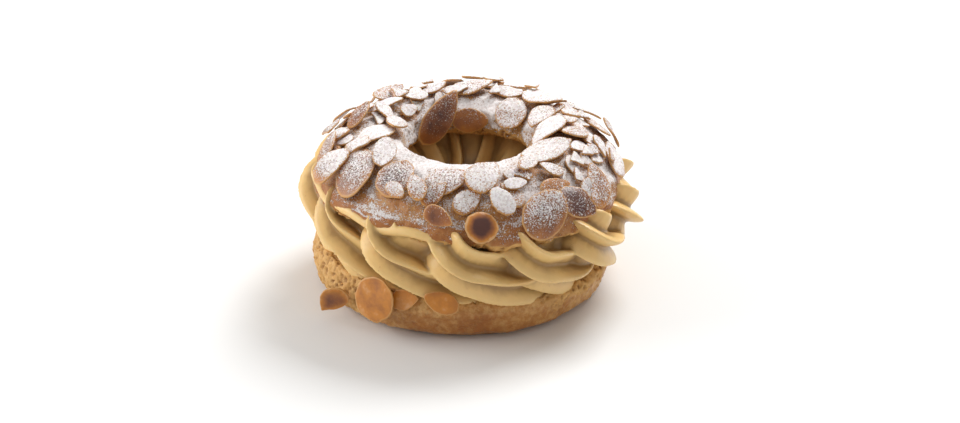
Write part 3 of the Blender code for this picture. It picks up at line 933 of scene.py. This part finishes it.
def crests(mesh, rounds, height):
    """0 in hollows and 1 on crests: how far each point stands above a blurred copy of its surface."""
    spots = points_of(mesh)
    ends = np.empty(2 * len(mesh.edges), dtype=np.int64)
    mesh.edges.foreach_get("vertices", ends)
    ends = ends.reshape(-1, 2)
    count = np.bincount(ends.ravel(), minlength=len(spots))[:, None]
    blurred = spots.copy()
    for _ in range(rounds):
        total = np.zeros_like(blurred)
        for axis in range(3):
            total[:, axis] += np.bincount(ends[:, 0], blurred[ends[:, 1], axis], len(spots))
            total[:, axis] += np.bincount(ends[:, 1], blurred[ends[:, 0], axis], len(spots))
        blurred = total / count
    stands = ((spots - blurred) * normals_of(mesh)).sum(axis=1)
    return np.clip(0.5 + 0.5 * stands / height, 0, 1)


# The cream's finish paints shade in the folds from this value.
store(rope.data, "ridge", crests(rope.data, CREST_ROUNDS, CREST_HEIGHT))
print(f"cream: {len(rope.data.polygons)} faces")

# %% [markdown]
# ## Almond slices
# Each large slice has a solid with a ten-sided outline. The fine slice keeps its place, its bend
# and its outline, now drawn as a smooth closed curve through the ten corners. It gets a rounded
# rim, a slight wave and a chipped edge, as a machine-cut almond has after baking.

# %% Read a slice back from its solid
RIM_POINTS = 10
LID_DEPTH = 8 * MM  # further below the lid's middle, a slice lies on the base
lid_spots = points_of(lid.data)
lid_away = away_from(lid_axis, lid_spots)
LID_CORE_RADIUS = float(lid_away.mean())
LID_CORE_LEVEL = float(lid_spots[:, 2].mean())


def from_core(spot):
    """The direction from the middle of the ring's section to a spot."""
    out = Vector((spot.x - lid_axis.x, spot.y - lid_axis.y, 0)).normalized()
    core = Vector((lid_axis.x, lid_axis.y, 0)) + out * LID_CORE_RADIUS
    core.z = LID_CORE_LEVEL if spot.z > LID_CORE_LEVEL - LID_DEPTH else base_high.z / 2
    return (spot - core).normalized()


def read_slice(name):
    """The middle, the outward axis and the rim of a slice's solid."""
    bm = merged(name)
    hubs = [vert for vert in bm.verts if len(vert.link_edges) == RIM_POINTS]
    middle = (hubs[0].co + hubs[1].co) / 2
    hubs.sort(key=lambda vert: vert.co.dot(from_core(middle)))
    axis = hubs[1].co - hubs[0].co
    side = axis.orthogonal().normalized()
    front = axis.normalized().cross(side)
    rim = [edge.other_vert(hubs[1]).co - axis / 2 for edge in hubs[1].link_edges]
    rim.sort(key=lambda corner: math.atan2((corner - middle).dot(front), (corner - middle).dot(side)))
    bm.free()
    return middle, axis.normalized(), rim


# %% A smooth closed curve through a few corners
def closed_curve(corners, count):
    """Points evenly shared along a closed curve that passes through every corner."""
    curve = []
    for k in range(count):
        at = k * len(corners) / count
        first, t = int(at), at % 1
        a, b, c, d = (corners[(first + n) % len(corners)] for n in (-1, 0, 1, 2))
        spot = 2 * b + (c - a) * t + (2 * a - 5 * b + 4 * c - d) * t**2
        curve.append(0.5 * (spot + (3 * b - 3 * c + d - a) * t**3))
    return curve


# %% [markdown]
# A slice is built in rows, like the section of a cushion: from the middle of its upper face, over
# the rim, to the middle of its lower face. Two exponents decide how flat the faces and
# how round the rim is.

# %% Slice mesh
SLICE_THICKNESS = 0.80 * MM
FACE_FLATNESS, RIM_ROUNDNESS = 0.7, 0.35
CREASE, CREASE_SPACING = 0.28 * MM, 4.5 * MM
LARGEST_CURL = 0.5
# depth as a share of the reach, how closely the notches follow each other, layer of the noise
RIM_CHIPPING = ((0.05, 2.2, 0), (0.03, 6, 5))


def slice_points(middle, axis, rim, rows, spokes, rng):
    """Rows of points from the upper middle to the lower middle, and each row's reach."""
    curve = closed_curve(rim, spokes)
    seed = rng.uniform(0, 50)
    curl = rng.uniform(0.0, LARGEST_CURL) * MM
    cup = rng.uniform(0, TURN)
    grid = []
    for q in range(2 * rows + 1):
        turn = math.pi * q / (2 * rows)
        reach = math.sin(turn) ** FACE_FLATNESS if 0 < q < 2 * rows else 0.0
        rounded = math.copysign(abs(math.cos(turn)) ** RIM_ROUNDNESS, math.cos(turn))
        height = rounded * SLICE_THICKNESS / 2
        row = []
        for k, corner in enumerate(curve):
            span = corner - middle
            rise = span.dot(axis)
            flat = span - axis * rise
            angle = TURN * k / spokes
            chip = 1
            for depth, pace, layer in RIM_CHIPPING:
                at = Vector((pace * math.cos(angle) + seed, pace * math.sin(angle), layer))
                chip += depth * noise.noise(at)
            spot = middle + flat * (reach * chip) + axis * (rise * reach * reach)
            bends = noise.noise(spot / CREASE_SPACING + Vector((seed, 0, 0)))
            wave = CREASE * bends * (0.3 + reach)
            wave += curl * reach**4 * max(0.0, math.cos(angle - cup))
            row.append(spot + axis * (height + wave))
        grid.append((reach, row))
    return grid


def slice_faces(rows, spokes, start):
    """Faces of one slice whose points begin at start: middle, rows, middle."""
    faces = []
    last = start + 1 + (2 * rows - 1) * spokes
    for k in range(spokes):
        k_next = (k + 1) % spokes
        faces.append((start, start + 1 + k, start + 1 + k_next))
        for q in range(2 * rows - 2):
            here = start + 1 + q * spokes
            there = here + spokes
            faces.append((here + k, there + k, there + k_next, here + k_next))
        faces.append((last, last - spokes + k_next, last - spokes + k))
    return faces


# %% [markdown]
# What a slice looks like is three numbers: how toasted it is, how much darker or paler its heart
# is than its rim, and how much sugar it caught. The slices that lead the eye are given one by one,
# and the others are drawn at random.

# %% How each slice was baked
#            toast, heart, sugar
BAKES = {
    1: (0.70, 0.18, 0.30), 2: (0.42, 0.15, 0.78), 3: (0.58, 0.08, 0.45), 4: (0.50, 0.10, 0.66),
    5: (0.40, 0.00, 0.85), 6: (0.42, 0.00, 0.60), 7: (0.62, 0.15, 0.45), 8: (0.66, 0.15, 0.42),
    9: (0.62, 0.20, 0.58), 10: (0.62, 0.36, 0.55), 11: (0.55, 0.20, 0.62), 12: (0.42, 0.10, 0.74),
    13: (0.62, 0.20, 0.45), 14: (0.50, 0.78, 0.00), 15: (0.42, 0.05, 0.40), 16: (0.84, 0.15, 0.28),
    17: (0.60, 0.15, 0.60), 18: (0.46, 0.10, 0.55), 19: (0.34, 0.00, 0.80), 20: (0.40, 0.00, 0.84),
    46: (0.42, 0.04, 0.0), 47: (0.38, 0.00, 0.0), 48: (0.44, 0.00, 0.0), 49: (0.46, 0.34, 0.0),
}
PATCH_SIZE, PATCH_DEPTH = 3.0 * MM, 0.16
CAUGHT_RIM = 0.10
HEART_FADE = 1.6
luck = random.Random(5)


def drawn_bake(rng, least_heart):
    """Toast, heart and sugar by chance."""
    return rng.uniform(0.25, 0.65), rng.uniform(least_heart, 0.30), rng.uniform(0.60, 1.0)


def bake_of(number):
    """Toast, heart and sugar of a slice. One is drawn for each, so that luck stays in step."""
    drawn = drawn_bake(luck, 0.05)
    return BAKES.get(number, drawn)


def toast_of(spot, reach, toast, heart):
    """How toasted one point of a slice is: patchy, with its own heart and a caught rim."""
    patch = noise.noise(spot / PATCH_SIZE) * PATCH_DEPTH
    caught = CAUGHT_RIM * reach**12
    return toast + heart * (1 - HEART_FADE * reach * reach) + patch + caught


# %% Build the slices
SLICE_ROWS, SLICE_SPOKES = 9, 48
CHART_MARGIN = 1.15
RIM_SHEDS = 0.6


def slice_piece(name, shapes, rows, spokes, columns):
    """One mesh of one or more slices, each with its own square of the map."""
    spots, faces, charts = [], [], []
    fields = {"toast": [], "edge": [], "sugar": []}
    for index, ((middle, axis, rim), (toast, heart, dust), rng) in enumerate(shapes):
        grid = slice_points(middle, axis, rim, rows, spokes, rng)
        side = axis.orthogonal().normalized()
        front = axis.cross(side)
        size = max((corner - middle).length for corner in rim) * CHART_MARGIN
        (top_reach, top), (last_reach, last) = grid[0], grid[-1]
        layers = [(top_reach, top[:1]), *grid[1:-1], (last_reach, last[:1])]
        cell = index % columns, index // columns
        start = len(spots)
        for q, (reach, row) in enumerate(layers):
            for spot in row:
                spots.append(spot)
                fields["toast"].append(toast_of(spot, reach, toast, heart))
                fields["edge"].append(reach)
                fields["sugar"].append(dust * (1 - RIM_SHEDS * reach**16) if q <= rows else 0.0)
                across = (spot - middle).dot(side) / size, (spot - middle).dot(front) / size
                charts.append((cell, across))
        faces += slice_faces(rows, spokes, start)
    mesh = bpy.data.meshes.new(name)
    mesh.from_pydata(spots, [], faces)
    for field, values in fields.items():
        store(mesh, field, values)
    lay_charts(mesh, charts, columns, 1 + (rows - 1) * spokes, 2 + (2 * rows - 1) * spokes)
    mesh.shade_smooth()
    return new_piece(name, mesh)


def lay_charts(mesh, charts, columns, upper, points_each):
    """Map coordinates: each slice's upper face in the left of its square, the lower in the right."""
    chart = mesh.uv_layers.new(name="OFBake")
    for face in mesh.polygons:
        lower = min(vert % points_each for vert in face.vertices) >= upper
        for loop in face.loop_indices:
            (column, line), (x, y) = charts[mesh.loops[loop].vertex_index]
            u = (column + 0.5 * lower + 0.25 + 0.23 * x) / columns
            chart.data[loop].uv = (u, (line + 0.5 + 0.46 * y) / columns)


slices = {}
for number in range(1, 50):
    node = f"almond_{number:02d}"
    rng = random.Random(number)
    shape = (read_slice(node), bake_of(number), rng)
    slices[node] = slice_piece(f"almond_slice_{number:02d}", [shape], SLICE_ROWS, SLICE_SPOKES, 1)
print(f"{len(slices)} slices of {len(slices['almond_01'].data.polygons)} faces")

# %% [markdown]
# ## Chips
# Between and over the large slices lie smaller ones and broken pieces. Each is given a place on
# the lid's fine skin, an outline and a bend that follows the ring's roundness, and is then lifted
# in small steps until its outline touches nothing that was laid before it. One that would end up
# too high is given up, and so is one on the near side's slope into the hole.

# %% Outlines and seats for the chips
CHIPS = 70
CHIP_LENGTHS = (6.5 * MM, 14.0 * MM)
DROP_WIDTHS, DROP_SHARPNESS = (0.5, 0.8), (0.1, 0.9)
SHARD_SHARE, SHARD_LENGTH, SHARD_WIDTH, SHARD_UNEVEN = 0.22, 0.8, 0.6, 0.18
RING_ROUNDNESS, BEND_SHARE = 12.5 * MM, 0.8
LARGEST_TILT = 4
# how far out from the top of the dome, in millimetres
INNERMOST, OUTERMOST, MOST_AT = -10.0, 9.5, 0.5
NEAR_SIDE = -0.2
DROPPED_FROM = 0.2
LOWEST_SEAT, HIGHEST_SEAT, LIFT_STEP = 0.3 * MM, 2.6 * MM, 0.12 * MM
AIR = 0.06 * MM
NEIGHBOUR_REACH = 17 * MM


def drop_outline(length, width, sharpness):
    """Ten corners of a drop that lies along X, its point forwards."""
    corners = []
    for k in range(RIM_POINTS):
        turn = TURN * k / RIM_POINTS
        narrow = abs(math.sin(turn / 2)) ** sharpness
        corners.append((0.5 * length * math.cos(turn), 0.5 * width * math.sin(turn) * narrow))
    return corners


def shard_outline(length, width, rng):
    """A broken piece: the corners of a triangle or a square, with the breaks straight."""
    sides = rng.choice((3, 4))
    start = rng.uniform(0, TURN)
    tips = [start + TURN * (k + rng.uniform(-SHARD_UNEVEN, SHARD_UNEVEN)) / sides for k in range(sides)]
    tips = [(0.5 * length * math.cos(tip), 0.5 * width * math.sin(tip)) for tip in tips]
    corners = []
    for k in range(RIM_POINTS):
        at = k * sides / RIM_POINTS
        (ax, ay), (bx, by) = tips[int(at)], tips[(int(at) + 1) % sides]
        corners.append((ax + (bx - ax) * (at % 1), ay + (by - ay) * (at % 1)))
    return corners


def chip_shape(place, normal, corners, heading, tilt, height):
    """The middle, axis and rim of a chip that follows the ring's roundness."""
    along = UP.cross(from_core(place))
    along = along.normalized() if along.length > 0.1 else Vector((1, 0, 0))
    flat = math.cos(heading) * along + math.sin(heading) * normal.cross(along)
    tip = (flat + normal * math.tan(tilt)).normalized()
    side = normal.cross(tip).normalized()
    axis = tip.cross(side).normalized()
    middle = place + normal * height
    rim = []
    for x, y in corners:
        climb = x * math.sin(heading) + y * math.cos(heading)
        sag = BEND_SHARE * climb * climb / (2 * RING_ROUNDNESS)
        rim.append(middle + tip * x + side * y - axis * sag)
    return middle, axis, rim


def chip_tree(middle, axis, rim):
    """A search tree for the outline of one slice, with a little air added round it."""
    half = axis * (0.5 * SLICE_THICKNESS + AIR)
    points = [spot + half for spot in (middle, *rim)] + [spot - half for spot in (middle, *rim)]
    low = RIM_POINTS + 1
    faces = []
    for k in range(1, low):
        k_next = k % RIM_POINTS + 1
        faces += [(0, k, k_next), (low, low + k_next, low + k), (k, low + k, low + k_next, k_next)]
    return BVHTree.FromPolygons(points, faces)


# %% Lay the chips
def joined(pieces):
    """The points and the faces of several pieces, as for one mesh."""
    points, faces = [], []
    for piece in pieces:
        start = len(points)
        points += points_of(piece.data).tolist()
        faces += [tuple(v + start for v in face.vertices) for face in piece.data.polygons]
    return points, faces


lid_tree = BVHTree.FromPolygons(*joined([lid]))
laid = [(chip_tree(*read_slice(node)), read_slice(node)[0]) for node in slices]


def free_of_all(shape):
    """Whether a chip touches neither the crust nor anything on it."""
    tree, middle = chip_tree(*shape), shape[0]
    if tree.overlap(lid_tree):
        return False
    near = (other for other, spot in laid if (spot - middle).length < NEIGHBOUR_REACH)
    return not any(tree.overlap(other) for other in near)


def lay_chip(rng):
    """One chip somewhere on the dome, resting on whatever is under it."""
    theta, away = rng.uniform(0, TURN), rng.triangular(INNERMOST, OUTERMOST, MOST_AT) * MM
    reach = LID_CORE_RADIUS + away
    x, y = lid_axis.x + reach * math.cos(theta), lid_axis.y + reach * math.sin(theta)
    place, normal = lid_tree.ray_cast(Vector((x, y, DROPPED_FROM)), -UP)[:2]
    if place is None or (math.sin(theta) < NEAR_SIDE and away < 0):
        return None
    length = rng.uniform(*CHIP_LENGTHS)
    if rng.random() < SHARD_SHARE:
        corners = shard_outline(SHARD_LENGTH * length, SHARD_WIDTH * length, rng)
    else:
        width = length * rng.uniform(*DROP_WIDTHS)
        corners = drop_outline(length, width, rng.uniform(*DROP_SHARPNESS))
    normal = (normal + from_core(place)).normalized()
    heading, tilt = rng.uniform(0, TURN), math.radians(rng.uniform(-LARGEST_TILT, LARGEST_TILT))
    height = LOWEST_SEAT
    while height < HIGHEST_SEAT:
        shape = chip_shape(place, normal, corners, heading, tilt, height)
        if free_of_all(shape):
            return shape
        height += LIFT_STEP
    return None


CHIP_ROWS, CHIP_SPOKES, CHIP_COLUMNS = 6, 30, 10
rng = random.Random(23)
chips = []
while len(chips) < CHIPS:
    shape = lay_chip(rng)
    if shape is None:
        continue
    laid.append((chip_tree(*shape), shape[0]))
    chips.append((shape, drawn_bake(rng, 0.0), random.Random(len(chips))))
chip_piece = slice_piece("almond_chips", chips, CHIP_ROWS, CHIP_SPOKES, CHIP_COLUMNS)
print(f"{len(chips)} chips, {len(chip_piece.data.polygons)} faces")

# %% [markdown]
# ## Where the sugar lies
# The sieve was held above and a little to the right, so cover grows with how far a place faces
# that way. Down in the hole powder clings to steeper places than elsewhere. Each point then looks
# up along a few rays: where slices stand in the way, the sugar is thin. This is worked out once
# for the crust, the slices and the chips and stored on their points.

# %% Dust everything on the lid
LOOKS_UP = [Vector(look) for look in ((0, 0, 1), (0.35, 0.1, 1), (-0.2, 0.35, 1), (-0.15, -0.4, 1))]
LOOK_START, SHELTER_REACH = 0.25 * MM, 14 * MM
SIEVE_LEAN = 0.28
FULL_COVER_SPAN = 0.9
SHELTERED_SHARE, OPEN_SHARE = 0.42, 0.58
LEAST_COVER = 0.02


def open_sky(tree, spot, normal):
    """The share of the looks up that meet nothing."""
    start = Vector(spot) + Vector(normal) * LOOK_START
    clear = sum(tree.ray_cast(start, look, SHELTER_REACH)[0] is None for look in LOOKS_UP)
    return clear / len(LOOKS_UP)


def dust(piece, tree, own_share, steepest):
    """Store the sugar cover on a piece; own_share is what each point can hold at most."""
    spots, facing = points_of(piece.data), normals_of(piece.data)
    level = facing[:, 2] + SIEVE_LEAN * facing[:, 0]
    cover = own_share * slope(level, steepest, steepest + FULL_COVER_SPAN)
    for k in np.flatnonzero(cover > LEAST_COVER):
        cover[k] *= SHELTERED_SHARE + OPEN_SHARE * open_sky(tree, spots[k], facing[k])
    store(piece.data, "sugar", cover)
    return float(cover.mean())


def stored(mesh, name):
    """The numbers kept on a mesh's points."""
    values = np.empty(len(mesh.vertices), dtype=np.float32)
    mesh.attributes[name].data.foreach_get("value", values)
    return values


LID_STEEPEST, CLINGING, SLICE_STEEPEST = 0.06, 0.71, -0.05
almonds = (chip_piece, *slices.values())
top_tree = BVHTree.FromPolygons(*joined((lid, *almonds)))
lid_share = 0.86 + 0.50 * patches(lid_spots, 6 * MM, 4)
clings = slope(-lid_away, -25 * MM, -18 * MM)
print(f"lid cover {dust(lid, top_tree, lid_share, LID_STEEPEST - CLINGING * clings):.2f}")
for piece in almonds:
    dust(piece, top_tree, stored(piece.data, "sugar"), SLICE_STEEPEST)

# %% [markdown]
# ## The finish of the almonds
# A raw slice is ivory. In the oven its rim and its thin spots turn gold, then brown, then almost
# black. One colour ramp holds that whole journey, and the toast stored on the points says how
# far each place has come. A thin bright line stays along the cut rim.

# %% Almond finish
def almond_finish():
    """Almond that reads its toast, its rim and its sugar from the mesh."""
    finish = Finish("toasted almond")
    fibres = finish.grain(0.9 * MM, 3.0, 0.6, 2.0)
    patches_of_heat = finish.grain(2.6 * MM, 2.0, 0.5, 5.0)
    toast = finish.value("toast") + (fibres - 0.5) * 0.25 + (patches_of_heat - 0.5) * 0.32
    stops = [(0.0, ALMOND_PALE), (0.36, ALMOND_GOLD), (0.66, ALMOND_BROWN), (0.95, ALMOND_DARK)]
    colour = finish.node("ShaderNodeValToRGB", {"stops": stops}, {"Fac": toast}, "Color")
    rim = finish.value("edge").step(0.90, 0.97) * 0.75
    colour = finish.mix(rim, colour, ALMOND_RIM)
    cover = sugar_cover(finish)
    relief = finish.bump(fibres, 0.10 * MM)
    relief = finish.bump(cover, 0.12 * MM, relief)
    linked = {
        "Base Color": sugared(finish, colour, cover),
        "Roughness": 0.32 + cover * 0.48,
        "Normal": relief,
    }
    plain = {
        "Subsurface Weight": 0.12,
        "Subsurface Radius": (1.0, 0.5, 0.2),
        "Subsurface Scale": 0.8 * MM,
    }
    return finish.finish(linked, plain)


almond_skin = almond_finish()
for piece in almonds:
    piece.data.materials.append(almond_skin)

# %% [markdown]
# ## Grains of sugar and crumbs
# Specks painted on a surface stay flat. Real powder stands up in little clots, and torn choux
# sheds crumbs. One Geometry Nodes tree scatters small lumps over any surface: a value stored on
# the surface says how thickly, and each lump is a flattened 20-sided ball, sized at random, that
# sits square on the surface.

# %% The scattering tree
def scatter_tree():
    """Small lumps all over a surface."""
    sizes = {"Density": 1e5, "Smallest": 0.1 * MM, "Largest": 0.2 * MM, "Squash": 0.7, "Seed": 1}
    shaper = Shaper("scattered grains", sizes)
    density = shaper.field("thickness") * shaper.given("Density")
    inputs = {"Mesh": shaper.given("Geometry"), "Density": density, "Seed": shaper.given("Seed")}
    settings = {"distribute_method": "RANDOM"}
    points = shaper.node("GeometryNodeDistributePointsOnFaces", settings, inputs, "Points")
    turned = Wire(shaper, points.socket.node.outputs["Rotation"])
    ball = shaper.node("GeometryNodeMeshIcoSphere", {}, {"Radius": 1.0, "Subdivisions": 1})
    inputs = {"Min": shaper.given("Smallest"), "Max": shaper.given("Largest"), "Seed": 3}
    size = shaper.node("FunctionNodeRandomValue", {"data_type": "FLOAT"}, inputs)
    inputs = {"X": size, "Y": size, "Z": size * shaper.given("Squash")}
    scale = shaper.node("ShaderNodeCombineXYZ", {}, inputs)
    inputs = {"Points": points, "Instance": ball, "Rotation": turned, "Scale": scale}
    shaper.deliver(shaper.node("GeometryNodeInstanceOnPoints", {}, inputs))
    return shaper


def grain_finish(name, colour, shade, roughness):
    """A dull grain that runs from its shade to its colour."""
    finish = Finish(name)
    tone = finish.mix(finish.grain(0.8 * MM, 2.0, 0.6), shade, colour)
    relief = finish.bump(finish.grain(0.15 * MM), 0.03 * MM)
    return finish.finish({"Base Color": tone, "Normal": relief}, {"Roughness": roughness})


def ground_of(name, pieces, field, power):
    """A copy of some surfaces, joined. A power of one of their values steers the scattering."""
    points, faces = joined(pieces)
    mesh = bpy.data.meshes.new(name)
    mesh.from_pydata(points, [], faces)
    store(mesh, "thickness", np.concatenate([stored(piece.data, field) ** power for piece in pieces]))
    return new_piece(name, mesh)


# %% Scatter the sugar and the crumbs
SUGAR_GRAINS = {"Density": 4.5e5, "Smallest": 0.07 * MM, "Largest": 0.19 * MM, "Squash": 0.7, "Seed": 4}
CRUMBS = {"Density": 1.4e5, "Smallest": 0.12 * MM, "Largest": 0.42 * MM, "Squash": 0.8, "Seed": 9}

scatter = scatter_tree()
sugar_grain = grain_finish("powdered sugar", SUGAR_WHITE, GRAIN_SHADE, 0.8)
crumb_grain = grain_finish("choux crumb", PALE_CRUST, GOLDEN_CRUST, 0.75)
powder = ground_of("powdered_sugar", (lid, *almonds), "sugar", 1.5)
scatter.finished(powder, {**SUGAR_GRAINS, "Finish": sugar_grain})
torn_edges = ground_of("choux_crumbs", (lid, base), "crumb", 2)
scatter.finished(torn_edges, {**CRUMBS, "Finish": crumb_grain})
print(f"powder {len(powder.data.polygons)} faces, crumbs {len(torn_edges.data.polygons)} faces")

# %% [markdown]
# ## The floor
# A plain pale floor, larger than the view, so that its edge never shows.

# %% Floor
FLOOR_REACH = 2
floor_mesh = bpy.data.meshes.new("floor")
signs = ((-1, -1), (1, -1), (1, 1), (-1, 1))
corners = [(FLOOR_REACH * x, FLOOR_REACH * y, 0) for x, y in signs]
floor_mesh.from_pydata(corners, [], [(0, 1, 2, 3)])
floor = new_piece("floor", floor_mesh)
paper = Finish("pale floor")
tone = paper.mix(paper.grain(90 * MM, 2.0), FLOOR_SHADE, FLOOR_PALE)
floor_mesh.materials.append(paper.finish({"Base Color": tone}, {"Roughness": 0.6, "Specular IOR Level": 0.2}))

# %% [markdown]
# ## Tie the pieces to the solids
# Nothing moves on a pastry, so every piece rides on the one body. Each fine piece stands in for
# its solid, which is hidden. The chips, the powder and the crumbs stand in for no solid.

# %% Ride and replace
def takes_over(piece, slot, *nodes):
    """The piece rides on the body and hides its solids; slot is not used."""
    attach(piece, "root")
    if nodes:
        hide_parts(*nodes)


takes_over(base, "choux_crust", "choux_base")
takes_over(lid, "choux_crust", "choux_lid")
takes_over(rope, "praline_cream", "praline_cream")
for node, piece in slices.items():
    takes_over(piece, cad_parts[node].data.materials[0].name, node)
takes_over(chip_piece, "almond_toasted")
takes_over(powder, "choux_crust")
takes_over(torn_edges, "choux_crust")
